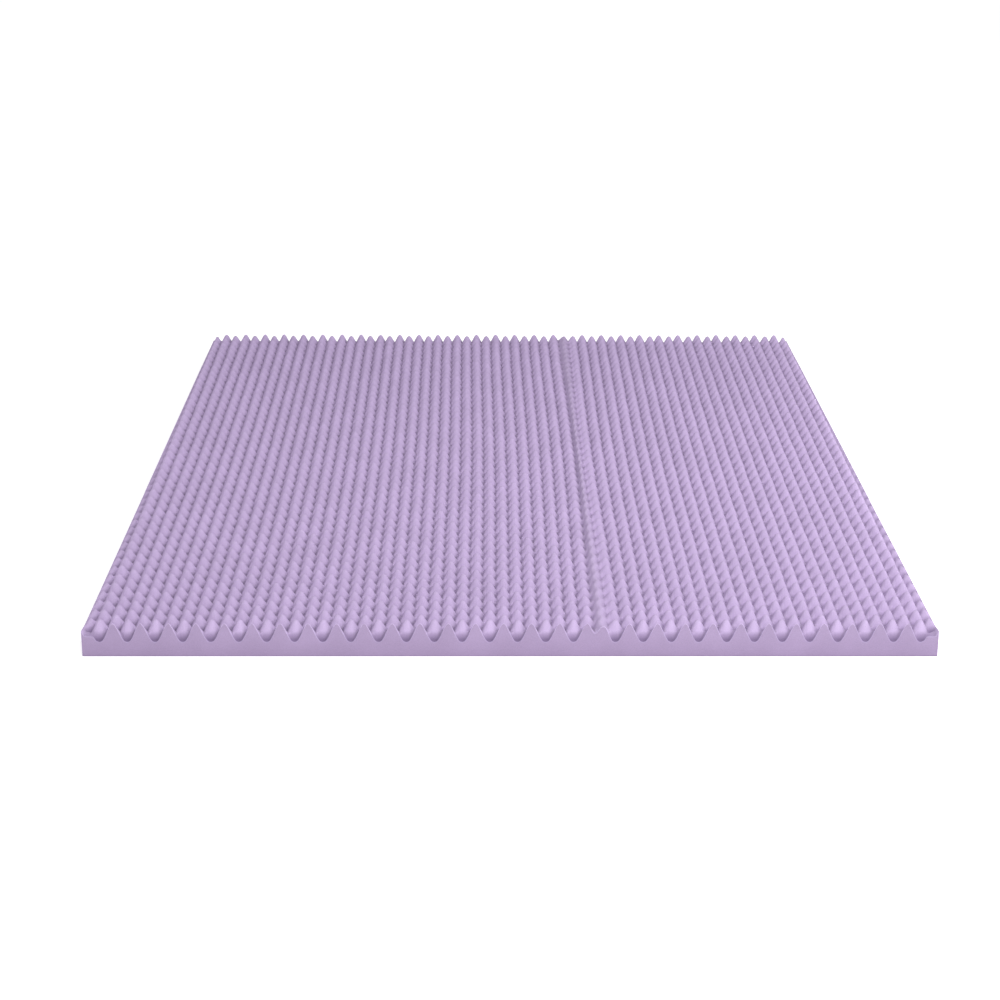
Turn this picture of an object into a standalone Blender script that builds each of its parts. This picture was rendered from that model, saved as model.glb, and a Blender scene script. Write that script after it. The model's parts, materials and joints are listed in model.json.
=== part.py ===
"""Egg-crate foam mattress topper, queen size, lying flat on its smooth underside.

One block of foam: flat below, and above it a staggered field of tips and pits, as a convoluting
cutter leaves it. X runs across the bed, Y from the front edge back, Z up. The origin is the middle
of the underside. The four sides are straight knife cuts, so they show the foam in section: the
front cut runs through the tips of a row, the back cut just short of one, and the side cuts leave a
low even lip. The columns fan out a little towards the back, so the outermost one runs out of each
side cut halfway along.

The relief is counted in steps, half a repeat each. Left of the join a tip stands where the step
across and the step along are both even or both odd, and a pit where they differ. Right of the join,
where a second length of foam is bonded on, it is the other way round. The column at the join is a
plain ridge, narrowest halfway along.
"""

import math

import bmesh
import bpy

WIDTH = 1.524
LENGTH = 2.032
THICKNESS = 0.0635
VALLEY_HEIGHT = 0.0273  # solid foam under the deepest pits

# Over 1 makes the tips narrower than the pits: the relief is a cosine wave raised to this power.
TIP_SHARPNESS = 1.25

STEPS_ALONG = 89.9  # front cut to back cut

LAST_COLUMN = 61
STEP_AT_FRONT = 0.02477
STEP_AT_BACK = 0.0255

JOIN_COLUMN = 37
JOIN_PINCH = 0.010  # how much narrower its ridge is halfway along
JOIN_LEVEL = 0.7  # height of its ridge, as the wave runs from -1 in a pit to 1 on a tip
JOIN_REACH = 0.75  # how many steps the ridge reaches to either side

LIP_HEIGHT = 0.045  # along both side cuts
LIP_WIDTH = 0.015

# At the two front corners the outermost tip has slumped flat, and only the lip stands up beside it,
# where it is a little higher than elsewhere.
LIP_AT_CORNER = 0.0485
CORNER_HEIGHT = 0.038
CORNER_POST = 0.006
CORNER_FLAT = 0.016
CORNER_FADE = 0.010

FOAM_COLOUR = (0.46, 0.37, 0.58, 1.0)
FOAM_ROUGHNESS = 0.95


def clear_scene():
    for thing in list(bpy.data.objects):
        bpy.data.objects.remove(thing, do_unlink=True)


def foam_material():
    material = bpy.data.materials.new("lavender_foam")
    material.use_nodes = True
    shader = material.node_tree.nodes["Principled BSDF"]
    shader.inputs["Base Color"].default_value = FOAM_COLOUR
    shader.inputs["Roughness"].default_value = FOAM_ROUGHNESS
    shader.inputs["Metallic"].default_value = 0.0
    return material


def mixed(first, second, share):
    return first + (second - first) * share


def eased(share):
    """From 0 to 1, level at both ends, and held there outside them."""
    held = min(max(share, 0.0), 1.0)
    return held * held * (3 - 2 * held)


def step_width(back):
    return mixed(STEP_AT_FRONT, STEP_AT_BACK, back)


def column_x(column, back):
    """X of a column at a share of the way back. Beside the join the columns lean in to its ridge."""
    if column < JOIN_COLUMN:
        lean = min(column / (JOIN_COLUMN - 0.5), 1.0)
    else:
        lean = -min((LAST_COLUMN - column) / (LAST_COLUMN - JOIN_COLUMN - 0.5), 1.0)
    from_join = min(abs(column - JOIN_COLUMN), 0.5)
    pinch = JOIN_PINCH * from_join * math.sin(math.pi * back) ** 2
    return (column - LAST_COLUMN / 2) * step_width(back) + pinch * lean


def column_lines(back):
    """Column and X of every grid line across, cut to cut. One line halves each outer margin."""
    columns = sorted([*range(1, LAST_COLUMN), JOIN_COLUMN - 0.5, JOIN_COLUMN + 0.5])
    inner = [(column, column_x(column, back)) for column in columns]
    cut = (LAST_COLUMN - WIDTH / step_width(back)) / 2
    left = (cut, -WIDTH / 2)
    right = (LAST_COLUMN - cut, WIDTH / 2)
    return [left, halfway(left, inner[0]), *inner, halfway(inner[-1], right), right]


def halfway(first, second):
    return tuple((a + b) / 2 for a, b in zip(first, second))


def row_steps():
    """Steps of every grid line along, front cut to back cut."""
    return [*range(math.ceil(STEPS_ALONG)), STEPS_ALONG]


def wave_at(column, row):
    """1 on a tip, -1 in a pit. Tips and pits change places at the join, where a plain ridge stands."""
    side = 1 if column < JOIN_COLUMN else -1
    ridge = eased(1 - abs(column - JOIN_COLUMN) / JOIN_REACH)
    staggered = side * math.cos(math.pi * column) * math.cos(math.pi * row)
    return mixed(staggered, JOIN_LEVEL, ridge)


def foam_height(x, column, row):
    """Height of the top: the cutter's wave, but for the side lips and the slumped corners."""
    height = mixed(VALLEY_HEIGHT, THICKNESS, ((1 + wave_at(column, row)) / 2) ** TIP_SHARPNESS)
    from_side = WIDTH / 2 - abs(x)
    lip = mixed(LIP_AT_CORNER, LIP_HEIGHT, eased(row / 2))
    height = mixed(lip, height, eased(from_side / LIP_WIDTH))
    slumped = eased(from_side / CORNER_POST) * (1 - eased((from_side - CORNER_FLAT) / CORNER_FADE))
    return mixed(height, CORNER_HEIGHT, slumped * (1 - eased(row)))


def relief_grid(bm):
    """Vertices of the top by row, and its triangles: each square is folded on the line between its pits."""
    grid = []
    for row in row_steps():
        y = LENGTH * (row / STEPS_ALONG - 0.5)
        lines = column_lines(row / STEPS_ALONG)
        grid.append([bm.verts.new((x, y, foam_height(x, column, row))) for column, x in lines])
    for front, back in zip(grid, grid[1:]):
        for left in range(len(front) - 1):
            near_left, near_right = front[left], front[left + 1]
            far_left, far_right = back[left], back[left + 1]
            if near_left.co.z + far_right.co.z < near_right.co.z + far_left.co.z:
                bm.faces.new((near_left, near_right, far_right))
                bm.faces.new((near_left, far_right, far_left))
            else:
                bm.faces.new((near_left, near_right, far_left))
                bm.faces.new((near_right, far_right, far_left))
    return grid


def cut_sides(bm, grid):
    """The four knife cuts, each one flat face from the relief's rim to the underside, and the underside."""
    front = grid[0]
    right = [row[-1] for row in grid]
    back = grid[-1][::-1]
    left = [row[0] for row in reversed(grid)]
    rims = (front, right, back, left)
    feet = [bm.verts.new((rim[0].co.x, rim[0].co.y, 0.0)) for rim in rims]
    for side, rim in enumerate(rims):
        bm.faces.new((feet[side], feet[(side + 1) % 4], *reversed(rim)))
    bm.faces.new(reversed(feet))


def foam_slab():
    mesh = bpy.data.meshes.new("foam_slab")
    bm = bmesh.new()
    cut_sides(bm, relief_grid(bm))
    bm.to_mesh(mesh)
    bm.free()
    slab = bpy.data.objects.new("foam_slab", mesh)
    slab.data.materials.append(foam_material())
    bpy.context.scene.collection.objects.link(slab)
    return slab


clear_scene()
foam_slab()
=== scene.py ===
# %% [markdown]
# # An egg-crate mattress topper
# The real thing is one block of open-cell foam. A convoluting machine squeezes a thick sheet between
# two rollers with staggered knobs and slices it down the middle, so it springs back as a field of
# rounded tips and pits on one side and stays smooth on the other. The four sides are plain knife cuts.
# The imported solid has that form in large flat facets. Here it gets its rounded relief, its cut rims
# and its foam, around the same frame and in the same box.

# %% Load the frame
import json
import math

import bpy
import numpy as np
from mathutils import Matrix, Vector

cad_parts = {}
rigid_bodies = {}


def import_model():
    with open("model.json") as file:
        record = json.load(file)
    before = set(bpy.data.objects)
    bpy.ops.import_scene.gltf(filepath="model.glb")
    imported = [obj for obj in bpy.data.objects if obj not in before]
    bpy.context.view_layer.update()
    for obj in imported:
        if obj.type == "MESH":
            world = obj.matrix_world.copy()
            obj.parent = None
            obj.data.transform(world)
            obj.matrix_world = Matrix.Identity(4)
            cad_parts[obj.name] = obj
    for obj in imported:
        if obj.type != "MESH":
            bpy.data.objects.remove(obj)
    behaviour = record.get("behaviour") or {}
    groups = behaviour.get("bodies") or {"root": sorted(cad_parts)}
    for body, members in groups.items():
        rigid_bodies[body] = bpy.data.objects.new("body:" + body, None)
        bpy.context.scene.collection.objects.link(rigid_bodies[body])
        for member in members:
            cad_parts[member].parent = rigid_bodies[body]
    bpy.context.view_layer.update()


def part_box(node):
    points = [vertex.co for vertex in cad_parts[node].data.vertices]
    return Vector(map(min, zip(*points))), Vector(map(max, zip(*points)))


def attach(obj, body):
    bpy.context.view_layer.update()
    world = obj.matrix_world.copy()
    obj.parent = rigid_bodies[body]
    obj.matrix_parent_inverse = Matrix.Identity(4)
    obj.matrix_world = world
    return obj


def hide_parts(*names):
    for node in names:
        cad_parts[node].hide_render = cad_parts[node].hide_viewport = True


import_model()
low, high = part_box("foam_slab")
WIDTH, LENGTH, THICKNESS = (high[axis] - low[axis] for axis in range(3))
print(f"slab {WIDTH:.3f} x {LENGTH:.3f} x {THICKNESS:.4f} m")


# %% [markdown]
# ## Camera
# The photograph looks down the length of the bed from a little above, with a long lens, so the far end
# is narrow but not tiny. The place and the angles below bring the four corners and the first and last
# tip of the front cut to where they are in the picture.

# %% Camera
LENS_MM = 78.16
CAMERA_PLACE = (-0.0564, -4.5837, 1.5213)
CAMERA_DOWN = math.radians(18.971)
CAMERA_RIGHT = math.radians(0.582)
CAMERA_ROLL = math.radians(0.229)

turned = Matrix.Rotation(-CAMERA_RIGHT, 3, "Z")
tilted = Matrix.Rotation(math.pi / 2 - CAMERA_DOWN, 3, "X")
rolled = Matrix.Rotation(CAMERA_ROLL, 3, "Z")
bpy.ops.object.camera_add(location=CAMERA_PLACE, rotation=(turned @ tilted @ rolled).to_euler())
camera = bpy.context.object
camera.data.lens = LENS_MM
bpy.context.scene.camera = camera
print("camera at", tuple(round(c, 3) for c in camera.location))


# %% [markdown]
# ## Floor and light
# Foam has no gloss, so its form shows in how much light each spot sees, and in the shade painted into
# its colour in the pits. A wide even sky does much of the work: tips are open to it, pits aren't. A large
# softbox above the front edge brings out the near flank of every tip, and a weak one at either side keeps
# the ends of the rows from going dull. The floor is plain and pale, and glows a little, so that it stays
# white up to the far end.

# %% Light
WHITE = (1.0, 1.0, 1.0, 1.0)
SKY_STRENGTH = 0.55
LAMPS = {
    "front_softbox": {"place": (1.5, -4.0, 2.8), "size": (3.0, 1.5), "watts": 136},
    "left_softbox": {"place": (-2.3, -0.5, 1.2), "size": (0.8, 3.2), "watts": 6},
    "right_softbox": {"place": (2.3, -0.5, 1.2), "size": (0.8, 3.2), "watts": 24},
}


def softbox(name, place, size, watts):
    """A rectangular lamp at a place, turned to the middle of the block."""
    bpy.ops.object.light_add(type="AREA", location=place)
    lamp = bpy.context.object
    lamp.name = name
    lamp.data.shape = "RECTANGLE"
    lamp.data.size, lamp.data.size_y = size
    lamp.data.energy = watts
    lamp.rotation_euler = (-Vector(place)).to_track_quat("-Z", "Y").to_euler()


world = bpy.data.worlds.new("studio")
bpy.context.scene.world = world
world.use_nodes = True
sky = world.node_tree.nodes["Background"]
sky.inputs["Color"].default_value = WHITE
sky.inputs["Strength"].default_value = SKY_STRENGTH
bpy.context.scene.view_settings.view_transform = "Standard"

for name, lamp in LAMPS.items():
    softbox(name, **lamp)
print("sky and", len(LAMPS), "lamps")


# %% Floor
FLOOR_SIZE = 200.0  # metres, so that its edge stays out of a picture from 15 degrees up
FLOOR_COLOUR = (0.93, 0.93, 0.93, 1.0)
FLOOR_GLOW = 0.5

bpy.ops.mesh.primitive_plane_add(size=FLOOR_SIZE)
floor = bpy.context.object
floor.name = "floor"
floor_paint = bpy.data.materials.new("pale_floor")
floor_paint.use_nodes = True
floor_shader = floor_paint.node_tree.nodes["Principled BSDF"]
floor_shader.inputs["Base Color"].default_value = FLOOR_COLOUR
floor_shader.inputs["Roughness"].default_value = 1.0
floor_shader.inputs["Specular IOR Level"].default_value = 0.0
floor_shader.inputs["Emission Color"].default_value = WHITE
floor_shader.inputs["Emission Strength"].default_value = FLOOR_GLOW
floor.data.materials.append(floor_paint)
print("floor", FLOOR_SIZE, "m wide")


# %% [markdown]
# ## The cutter's repeat
# The pattern is counted in steps, half a repeat each. Left of the join a tip stands where the step
# across and the step along are both even or both odd, and a pit where they differ. Right of the join a
# second length of foam is bonded on, and there it is the other way round. The columns fan out a little
# towards the back, so the outermost one runs out of each side cut halfway along, and they lean in to the
# join, which is narrowest halfway along.

# %% Steps to metres
STEPS_ALONG = 89.9  # front cut to back cut
LAST_COLUMN = 61
STEP_AT_FRONT = 0.02477
STEP_AT_BACK = 0.0255
JOIN_COLUMN = 37
JOIN_PINCH = 0.010  # how much narrower its ridge is halfway along


def step_width(v):
    return STEP_AT_FRONT + (STEP_AT_BACK - STEP_AT_FRONT) * v / STEPS_ALONG


def column_x(u, v):
    """Where a step across lies, on the line of a step along."""
    lean = np.interp(u, [0, JOIN_COLUMN - 0.5, JOIN_COLUMN + 0.5, LAST_COLUMN], [0, 0.5, -0.5, 0])
    pinch = JOIN_PINCH * np.sin(math.pi * v / STEPS_ALONG) ** 2
    return (u - LAST_COLUMN / 2) * step_width(v) + pinch * lean


repeat_across = 2 * STEP_AT_FRONT
repeat_along = 2 * LENGTH / STEPS_ALONG
print(f"a repeat is {repeat_across:.4f} m across and {repeat_along:.4f} m along")


# %% [markdown]
# ## The flat blank
# A grid is laid out first, in steps instead of metres. Its lines crowd at the whole steps, because that
# is where the round tips and pits are, and thin out on the straight flanks between them. Outside the
# second column from either side the lines share out what is left up to the cut. The front and back rims
# show the relief in section, so each of their edges between those columns is cut twice more.

# %% Grid lines
LINES_IN_STEP = (0.0, 0.2, 0.5, 0.8)
LAST_LINES = [89.2, 89.5, STEPS_ALONG]  # past the last whole step, up to the back cut
MARGIN_LINES = 6


def grid_lines(first, last):
    """Every grid line from one whole step to another."""
    return [step + part for step in range(first, last) for part in LINES_IN_STEP] + [last]


def margin_lines(first, last):
    return list(np.linspace(first, last, MARGIN_LINES + 1))


left_margin = margin_lines(0, 1)[:-1]
right_margin = margin_lines(LAST_COLUMN - 1, LAST_COLUMN)[1:]
columns = np.array(left_margin + grid_lines(1, LAST_COLUMN - 1) + right_margin)
rows = np.array(grid_lines(0, math.floor(STEPS_ALONG)) + LAST_LINES)
print(len(columns), "lines across,", len(rows), "along")


# %% Reading and picking parts of a mesh
def mesh_values(elements, name, width=1, kind=float):
    """One value, or one row of values, for each point, edge or face."""
    values = np.empty(len(elements) * width, kind)
    elements.foreach_get(name, values)
    return values.reshape(-1, width) if width > 1 else values


def coordinates(piece):
    return mesh_values(piece.data.vertices, "co", 3)


def edge_ends(piece):
    """The two end points of every edge."""
    return coordinates(piece)[mesh_values(piece.data.edges, "vertices", 2, int)]


def move_points(piece, points):
    piece.data.vertices.foreach_set("co", points.ravel())
    piece.data.update()


def edit_only(piece, kind, wanted):
    """Leaves the piece in edit mode with only the wanted edges or faces selected."""
    parts = {"VERT": piece.data.vertices, "EDGE": piece.data.edges, "FACE": piece.data.polygons}
    for elements in parts.values():
        elements.foreach_set("select", np.zeros(len(elements), bool))
    parts[kind].foreach_set("select", wanted)
    bpy.ops.object.mode_set(mode="EDIT")
    bpy.ops.mesh.select_mode(type=kind)


# %% The blank
RIM_CUTS = 2

bpy.ops.object.select_all(action="DESELECT")
bpy.ops.mesh.primitive_grid_add(x_subdivisions=len(columns) - 1, y_subdivisions=len(rows) - 1, size=1)
topper = bpy.context.object
topper.name = topper.data.name = "foam_topper"

points = coordinates(topper)
across = np.rint((points[:, 0] + 0.5) * (len(columns) - 1)).astype(int)
along = np.rint((points[:, 1] + 0.5) * (len(rows) - 1)).astype(int)
move_points(topper, np.column_stack([columns[across], rows[along], np.zeros(len(points))]))

ends = edge_ends(topper)
front_or_back = (ends[:, :, 1] == rows[0]).all(1) | (ends[:, :, 1] == rows[-1]).all(1)
between_margins = (ends[:, :, 0] >= 1).all(1) & (ends[:, :, 0] <= LAST_COLUMN - 1).all(1)
edit_only(topper, "EDGE", front_or_back & between_margins)
bpy.ops.mesh.subdivide(number_cuts=RIM_CUTS, ngon=False)
bpy.ops.object.mode_set(mode="OBJECT")
print(len(topper.data.polygons), "faces in the flat blank")


# %% [markdown]
# ## The relief
# Two cosines multiplied give the staggered field, and a power over 1 narrows the tips and widens the
# pits, as the cut profile at the front has them. Inside the field the power is close to 1, and between
# the rows every column is raised and the grooves beside it are lowered a little, so the tips of a column
# run together into a rope with toothed flanks. That leaves the tips, the pits and the profile of either
# cut as they are. At the join the field changes over, and a plain ridge stands there. Foam is never quite
# even: each tip is a hair off its place and height. Along the side cuts a low even lip is left standing,
# and at the two front corners the outermost tip has slumped flat, so that only the lip stands up there.

# %% The cutter's wave
JOIN_LEVEL = 0.7  # height of the join's ridge, as the wave runs from -1 in a pit to 1 on a tip
JOIN_REACH = 0.75  # how many steps the ridge reaches to either side
ROPE_RISE = 0.18  # of a column halfway between two rows, on the same wave
GROOVE_DROP = 0.10  # of the grooves beside it
ROPE_FADE = 2  # steps before the back cut over which both end
UNEVEN_STEP = 0.035  # how many steps a tip may be off its place
RIPPLES = ((0.83, 1.31, 2.1, 0.0), (1.57, -0.64, 0.7, 1.0), (0.29, 2.17, -1.3, 0.0))


def eased(share):
    """From 0 to 1, level at both ends, and held there outside them."""
    held = np.clip(share, 0, 1)
    return held * held * (3 - 2 * held)


def ripple(u, v, turn):
    """A slow uneven wave from -1 to 1 over the field; turn picks another one."""
    waves = [np.sin(a * u + b * v + c * turn + start) for a, b, c, start in RIPPLES]
    return sum(waves) / len(waves)


def wave_at(u, v):
    """1 on a tip, -1 in a pit."""
    across = np.cos(math.pi * (u + UNEVEN_STEP * ripple(u, v, 1)))
    along = np.cos(math.pi * (v + UNEVEN_STEP * ripple(u, v, 2)))
    side = np.where(u < JOIN_COLUMN, 1, -1)
    ridge = eased(1 - np.abs(u - JOIN_COLUMN) / JOIN_REACH)
    rope = (ROPE_RISE + GROOVE_DROP) * across**2 - GROOVE_DROP
    rope *= (1 - along**2) * eased((STEPS_ALONG - v) / ROPE_FADE)
    return (side * across * along + rope) * (1 - ridge) + JOIN_LEVEL * ridge


print(f"wave on a tip {wave_at(2, 2):.3f}, in a pit {wave_at(2, 3):.3f}, between {wave_at(2, 2.5):.3f}")


# %% Lift the blank
VALLEY_HEIGHT = 0.0273  # solid foam under the deepest pits
RIM_SHARPNESS = 1.25  # power of the wave at the front and back cuts
FIELD_SHARPNESS = 1.05  # and from one step inside them
UNEVEN_HEIGHT = 0.02  # share of the relief that a tip may lack
LIP_HEIGHT = 0.045  # along both side cuts
LIP_WIDTH = 0.015
LIP_AT_CORNER = 0.0485
LIP_FADE = 2  # steps over which it comes down from the front corner
CORNER_HEIGHT = 0.038  # of the slumped foam at the two front corners
CORNER_POST = 0.006  # how wide the lip is that stands beside it
CORNER_FLAT = 0.016  # how far in the slumped foam reaches before it rises
CORNER_FADE = 0.010


def foam_height(x, u, v):
    """Height of the top: the cutter's wave, but for the side lips and the slumped corners."""
    relief = (THICKNESS - VALLEY_HEIGHT) * (1 - UNEVEN_HEIGHT * (1 + ripple(u, v, 3)) / 2)
    inside = eased(v) * eased(STEPS_ALONG - v)
    sharpness = RIM_SHARPNESS + (FIELD_SHARPNESS - RIM_SHARPNESS) * inside
    height = VALLEY_HEIGHT + relief * ((1 + wave_at(u, v)) / 2) ** sharpness
    from_side = WIDTH / 2 - np.abs(x)
    lip = LIP_AT_CORNER + (LIP_HEIGHT - LIP_AT_CORNER) * eased(v / LIP_FADE)
    height = lip + (height - lip) * eased(from_side / LIP_WIDTH)
    slumped = eased(from_side / CORNER_POST) * (1 - eased((from_side - CORNER_FLAT) / CORNER_FADE))
    return height + (CORNER_HEIGHT - height) * slumped * (1 - eased(v))


# Outside column 1 and the last but one, the lines are spread from the column to the cut.
u, v = coordinates(topper)[:, :2].T
cut = (LAST_COLUMN - WIDTH / step_width(v)) / 2
u = np.where(u < 1, 1 + (u - 1) * (1 - cut), u)
u = np.where(u > LAST_COLUMN - 1, LAST_COLUMN - 1 + (u - LAST_COLUMN + 1) * (1 - cut), u)
x = np.clip(column_x(u, v), low[0], high[0])
move_points(topper, np.column_stack([x, low[1] + v * LENGTH / STEPS_ALONG, foam_height(x, u, v)]))
heights = coordinates(topper)[:, 2]
print(f"relief from {heights.min():.4f} to {heights.max():.4f} m")


# %% [markdown]
# ## The knife cuts
# The open border is extruded and pressed flat onto the floor, which makes the four cut walls, and the
# loop that it leaves is filled as the underside. The many strips of each wall are then dissolved into
# one face, flat as a knife leaves it.

# %% Walls and underside
FLAT_WITHIN = math.radians(0.5)

bpy.ops.object.mode_set(mode="EDIT")
bpy.ops.mesh.select_mode(type="EDGE")
bpy.ops.mesh.select_all(action="DESELECT")
bpy.ops.mesh.select_non_manifold()
bpy.ops.mesh.extrude_edges_move(TRANSFORM_OT_translate={"value": (0, 0, -VALLEY_HEIGHT)})
bpy.ops.transform.resize(value=(1, 1, 0), center_override=(0, 0, 0))
bpy.ops.mesh.edge_face_add()
bpy.ops.mesh.select_more()
bpy.ops.mesh.dissolve_limited(angle_limit=FLAT_WITHIN)
bpy.ops.object.mode_set(mode="OBJECT")
print(len(topper.data.polygons), "faces with walls and underside")


# %% [markdown]
# ## Rims
# A knife leaves a crisp edge in foam, but not a mathematical one: the last row of cells is open and
# rounds off by about a millimetre. A narrow bevel follows that line along every cut, and its colour is
# painted paler than the foam beside it, a painted highlight.

# %% Round the cut edges
EDGE_ROUND = 0.0009
ROUND_SEGMENTS = 2
SMALL = 1e-5
TOP, CUT, RIM = range(3)


def on_plane(values, plane):
    return (np.abs(values - plane) < SMALL).all(1)


for _ in (TOP, CUT, RIM):
    bpy.ops.object.material_slot_add()

ends = edge_ends(topper)
walls = [on_plane(ends[:, :, axis], side[axis]) for axis in (0, 1) for side in (low, high)]
outline = np.any(walls, axis=0) | on_plane(ends[:, :, 2], 0.0)
edit_only(topper, "EDGE", outline)
bpy.ops.mesh.bevel(offset=EDGE_ROUND, segments=ROUND_SEGMENTS, affect="EDGES", material=RIM)
bpy.ops.object.mode_set(mode="OBJECT")
print(len(topper.data.polygons), "faces with rounded edges")


# %% Which face is which
FLAT_CUT_AREA = 0.02  # square metres: only the walls and the underside are larger

faces = topper.data.polygons
slots = mesh_values(faces, "material_index", kind=int)
centres = mesh_values(faces, "center", 3)
flat_cut = (mesh_values(faces, "area") > FLAT_CUT_AREA) & (slots != RIM)
slots[flat_cut] = CUT
# The rounded edges along the floor look like the walls above them, with their painted shadow at the
# floor.
slots[(slots == RIM) & (centres[:, 2] < 2 * EDGE_ROUND)] = CUT
faces.foreach_set("material_index", slots)
faces.foreach_set("use_smooth", np.ones(len(slots), bool))
topper.data.update()

edit_only(topper, "FACE", flat_cut)
bpy.ops.mesh.region_to_loop()
bpy.ops.mesh.mark_sharp()
bpy.ops.object.mode_set(mode="OBJECT")
print(int(flat_cut.sum()), "flat cut faces,", int((slots == RIM).sum()), "rim faces")


# %% [markdown]
# ## Foam
# Open-cell foam is a mat of tiny bubbles, a little under a millimetre across, with no gloss at all. One
# group makes the cells, so the moulded top, the cuts and the rims share them. It gives a shade, from 0 in
# the middle of a bubble to 1 at the wall between two, and a height for a bump, in which the walls stand
# up and whole clumps of cells rise and sink. The colour itself goes by height: deep in the pits it is
# painted a dull plum, painted shade for the shadow the pits lie in, and it pales to the foam's lavender
# towards the tips, a little paler still at the very top, a painted highlight. The cuts are painted one
# nearly even shade, darker than the top though they are the same foam, and darkest in the line where
# they meet the floor, a painted shadow.

# %% Node helpers
UNIT = (0.0, 1.0)


def add_node(tree, kind, place, **settings):
    node = tree.nodes.new(kind)
    node.location = place
    for name, value in settings.items():
        setattr(node, name, value)
    return node


def link(tree, source, target):
    tree.links.new(source, target)


def map_range(tree, place, source, start, end):
    """The values of a socket, carried from one range to another and held at its ends."""
    node = add_node(tree, "ShaderNodeMapRange", place)
    for name, value in zip(("From Min", "From Max", "To Min", "To Max"), (*start, *end)):
        node.inputs[name].default_value = value
    link(tree, source, node.inputs["Value"])
    return node.outputs["Result"]


# %% Foam cells group
BUBBLE_WALL = (0.1, 0.75)  # where a wall starts and ends, in cells from the middle of a bubble
CLUMP_DENSITY = 0.17  # clumps for each cell, so one is about six cells across
CLUMP_DETAIL = 3.0
CLUMP_HEIGHT = 0.6  # beside a wall's 1

cells = bpy.data.node_groups.new("foam_cells", "ShaderNodeTree")
cells.interface.new_socket("Cell Size", in_out="INPUT", socket_type="NodeSocketFloat")
cells.interface.new_socket("Shade", in_out="OUTPUT", socket_type="NodeSocketFloat")
cells.interface.new_socket("Height", in_out="OUTPUT", socket_type="NodeSocketFloat")

inputs = add_node(cells, "NodeGroupInput", (-900, 0))
position = add_node(cells, "ShaderNodeTexCoord", (-900, 300)).outputs["Object"]
density = add_node(cells, "ShaderNodeMath", (-700, 0), operation="DIVIDE")
density.inputs[0].default_value = 1.0
link(cells, inputs.outputs["Cell Size"], density.inputs[1])

bubbles = add_node(cells, "ShaderNodeTexVoronoi", (-500, 200), feature="F1")
link(cells, position, bubbles.inputs["Vector"])
link(cells, density.outputs[0], bubbles.inputs["Scale"])
wall = map_range(cells, (-300, 200), bubbles.outputs["Distance"], BUBBLE_WALL, UNIT)

clump_density = add_node(cells, "ShaderNodeMath", (-500, -100), operation="MULTIPLY")
clump_density.inputs[1].default_value = CLUMP_DENSITY
link(cells, density.outputs[0], clump_density.inputs[0])
clumps = add_node(cells, "ShaderNodeTexNoise", (-300, -100))
clumps.inputs["Detail"].default_value = CLUMP_DETAIL
link(cells, position, clumps.inputs["Vector"])
link(cells, clump_density.outputs[0], clumps.inputs["Scale"])

height = add_node(cells, "ShaderNodeMath", (-80, 60), operation="MULTIPLY_ADD")
height.inputs[1].default_value = CLUMP_HEIGHT
link(cells, clumps.outputs["Fac"], height.inputs[0])
link(cells, wall, height.inputs[2])
outputs = add_node(cells, "NodeGroupOutput", (150, 0))
link(cells, wall, outputs.inputs["Shade"])
link(cells, height.outputs[0], outputs.inputs["Height"])
print("cells group with", len(cells.nodes), "nodes")


# %% Colour by height
# Painted light: near the front cut the pits are painted lighter, for light that comes in through the cut.
OPEN_FRONT = 0.035  # how far in from the front cut its light reaches


def colour_by_height(tree, position, shades, front_painted_light):
    """Goes from one colour to the next, each at its own height in metres; the darker colours low down are
    painted shade.

    The pits of the front row are painted lighter near the front cut, painted light for the light that
    also
    reaches them through the cut: the lift at the front is how much higher they seem at the cut, as a
    share of the thickness.
    """
    split = add_node(tree, "ShaderNodeSeparateXYZ", (-1100, 200))
    link(tree, position, split.inputs["Vector"])
    opening = (low[1], low[1] + OPEN_FRONT)
    lift = map_range(tree, (-900, 400), split.outputs["Y"], opening, (front_painted_light, 0.0))
    level = add_node(tree, "ShaderNodeMath", (-900, 200), operation="MULTIPLY_ADD")
    level.inputs[1].default_value = 1 / THICKNESS
    link(tree, split.outputs["Z"], level.inputs[0])
    link(tree, lift, level.inputs[2])

    colour = add_node(tree, "ShaderNodeValToRGB", (-650, 200))
    ramp = colour.color_ramp.elements
    while len(ramp) < len(shades):
        ramp.new(0.5)
    for stop, (height, shade) in zip(ramp, shades.items()):
        stop.position = height / THICKNESS
        stop.color = (*shade, 1.0)
    link(tree, level.outputs[0], colour.inputs["Fac"])
    return colour.outputs["Color"]


# %% Lighter and darker spots
PATCH_SCALE = 14.0  # patches in a metre
PATCH_DETAIL = 4.0
PATCH_NOISE = (0.3, 0.7)
PATCH_TONES = (0.95, 1.04)
CELL_TONES = (1.05, 0.88)  # in the middle of a bubble, and at its wall


def spot_tone(tree, position, shade):
    """What the colour is multiplied by: slow patches over the foam, times its cells."""
    patches = add_node(tree, "ShaderNodeTexNoise", (-1100, -100))
    patches.inputs["Scale"].default_value = PATCH_SCALE
    patches.inputs["Detail"].default_value = PATCH_DETAIL
    link(tree, position, patches.inputs["Vector"])
    patch = map_range(tree, (-900, -100), patches.outputs["Fac"], PATCH_NOISE, PATCH_TONES)
    cell = map_range(tree, (-650, -300), shade, UNIT, CELL_TONES)
    tone = add_node(tree, "ShaderNodeMath", (-450, -100), operation="MULTIPLY")
    link(tree, patch, tone.inputs[0])
    link(tree, cell, tone.inputs[1])
    return tone.outputs[0]


# %% Foam material
CELL_SIZE = 0.0009
CELL_DEPTH = 0.0005
FOAM_SHINE = 0.15


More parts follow.
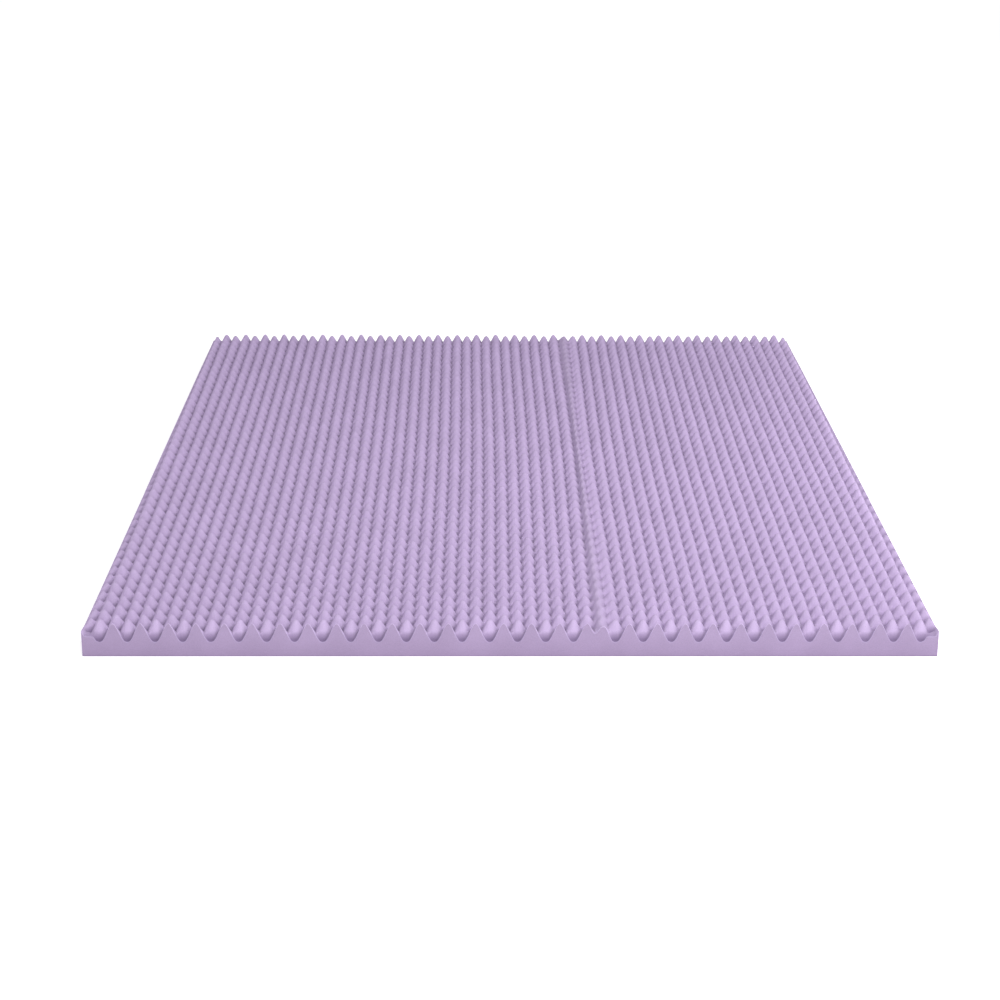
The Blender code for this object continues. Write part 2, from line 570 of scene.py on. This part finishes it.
def foam_material(name, shades, bump, front_painted_light=0.0):
    """Open-cell foam in colours given by height, painted shade and highlight among them; bump is how
    strongly its cells stand out.
    """
    material = bpy.data.materials.new(name)
    material.use_nodes = True
    tree = material.node_tree
    position = add_node(tree, "ShaderNodeTexCoord", (-1300, 0)).outputs["Object"]
    foam = add_node(tree, "ShaderNodeGroup", (-900, -400), node_tree=cells)
    foam.inputs["Cell Size"].default_value = CELL_SIZE

    toned = add_node(tree, "ShaderNodeVectorMath", (-250, 100), operation="SCALE")
    link(tree, colour_by_height(tree, position, shades, front_painted_light), toned.inputs["Vector"])
    link(tree, spot_tone(tree, position, foam.outputs["Shade"]), toned.inputs["Scale"])
    bumps = add_node(tree, "ShaderNodeBump", (-250, -300))
    bumps.inputs["Strength"].default_value = bump
    bumps.inputs["Distance"].default_value = CELL_DEPTH
    link(tree, foam.outputs["Height"], bumps.inputs["Height"])

    shader = tree.nodes["Principled BSDF"]
    shader.inputs["Roughness"].default_value = 1.0
    shader.inputs["Specular IOR Level"].default_value = FOAM_SHINE
    link(tree, toned.outputs["Vector"], shader.inputs["Base Color"])
    link(tree, bumps.outputs["Normal"], shader.inputs["Normal"])
    return material


# %% Top, cuts and rims
# Painted shade: the top is painted dark in the pits, where it lies in shadow, and a little paler at the
# tips, a painted highlight; between them it is the foam's own lavender.
TOP_SHADES = {
    0.032: (0.22, 0.16, 0.285),
    0.0395: (0.36, 0.275, 0.45),
    0.0455: (0.54, 0.424, 0.656),
    0.062: (0.56, 0.443, 0.683),
}
# Painted shade: the cuts are painted darker than the top though they are the same foam, a little darker
# towards the bottom, and darkest along the floor, a painted contact shadow.
CUT_SHADES = {
    0.000: (0.20, 0.15, 0.25),
    0.003: (0.315, 0.239, 0.382),
    0.040: (0.35, 0.27, 0.424),
}
# Painted highlight: the rims are painted paler than the top and the cuts beside them, and darker lower
# down, painted shade as on the top.
RIM_HIGHLIGHT_SHADES = {
    0.029: (0.38, 0.30, 0.48),
    0.062: (0.60, 0.49, 0.73),
}
TOP_BUMP = 0.5
CUT_BUMP = 0.35
# Painted light in the pits at the front cut, as a share of the thickness.
FRONT_PAINTED_LIGHT = 0.02

moulded = foam_material("foam_top", TOP_SHADES, TOP_BUMP, FRONT_PAINTED_LIGHT)
sliced = foam_material("foam_cut", CUT_SHADES, CUT_BUMP)
edge = foam_material("foam_rim_highlight", RIM_HIGHLIGHT_SHADES, CUT_BUMP)
for number, material in {TOP: moulded, CUT: sliced, RIM: edge}.items():
    topper.material_slots[number].material = material
print([slot.name for slot in topper.material_slots])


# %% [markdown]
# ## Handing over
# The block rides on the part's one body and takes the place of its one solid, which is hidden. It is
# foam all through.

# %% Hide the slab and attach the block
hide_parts("foam_slab")
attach(topper, "root")
